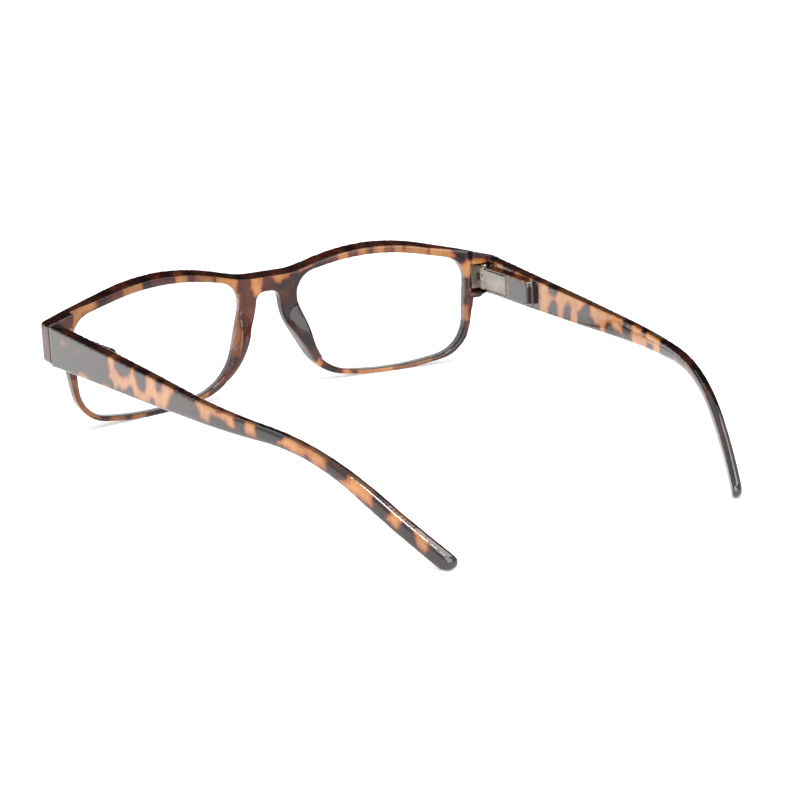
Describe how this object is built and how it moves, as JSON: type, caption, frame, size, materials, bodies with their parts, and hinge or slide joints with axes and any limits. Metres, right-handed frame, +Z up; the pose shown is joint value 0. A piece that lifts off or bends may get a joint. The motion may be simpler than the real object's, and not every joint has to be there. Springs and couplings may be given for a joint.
{
  "type": "reading glasses",
  "caption": "Full-rim plastic reading glasses with spring-hinged folding temples and moulded nose pads.",
  "frame": {"origin": "middle of the base of the open glasses, on the plane that the rims and temple tips stand on", "axes": "+X to the wearer's left, -Y the way the wearer looks, +Z up"},
  "size_m": [0.138, 0.1564, 0.0384],
  "materials": {
    "tortoiseshell": "polished mottled amber and dark brown",
    "lens": "clear polished",
    "nickel": "satin nickel plate",
    "spring_steel": "drawn wire"
  },
  "bodies": {
    "front": {"front_frame": "tortoiseshell", "lens_left": "lens", "hinge_leaf_left": "nickel", "leaf_anchor_pins_left": "nickel", "hinge_screw_left": "nickel", "lens_right": "lens", "hinge_leaf_right": "nickel", "leaf_anchor_pins_right": "nickel", "hinge_screw_right": "nickel"},
    "tongue_left": {"spring_tongue_left": "nickel", "spring_stop_left": "nickel"},
    "temple_arm_left": {"temple_left": "tortoiseshell", "spring_casing_left": "nickel", "casing_anchor_pins_left": "nickel", "coil_spring_left": "spring_steel"},
    "tongue_right": {"spring_tongue_right": "nickel", "spring_stop_right": "nickel"},
    "temple_arm_right": {"temple_right": "tortoiseshell", "spring_casing_right": "nickel", "casing_anchor_pins_right": "nickel", "coil_spring_right": "spring_steel"}
  },
  "joints": [
    {"name": "fold_left", "type": "hinge", "parent": "front", "child": "tongue_left", "pos_m": [0.065, -0.06357, 0.0253], "axis": [0, 0, 1], "range_deg": [0, 63]},
    {"name": "spring_slide_left", "type": "slide", "parent": "tongue_left", "child": "temple_arm_left", "axis": [-0.0924, 0.9957, 0], "range_m": [0, 0.0009], "stiffness_N_per_m": 3000, "springref_m": -0.0025, "deforming": ["coil_spring_left"]},
    {"name": "fold_right", "type": "hinge", "parent": "front", "child": "tongue_right", "pos_m": [-0.065, -0.06357, 0.0253], "axis": [0, 0, -1], "range_deg": [0, 81.5]},
    {"name": "spring_slide_right", "type": "slide", "parent": "tongue_right", "child": "temple_arm_right", "axis": [0.0924, 0.9957, 0], "range_m": [0, 0.0009], "stiffness_N_per_m": 3000, "springref_m": -0.0025, "deforming": ["coil_spring_right"]}
  ]
}
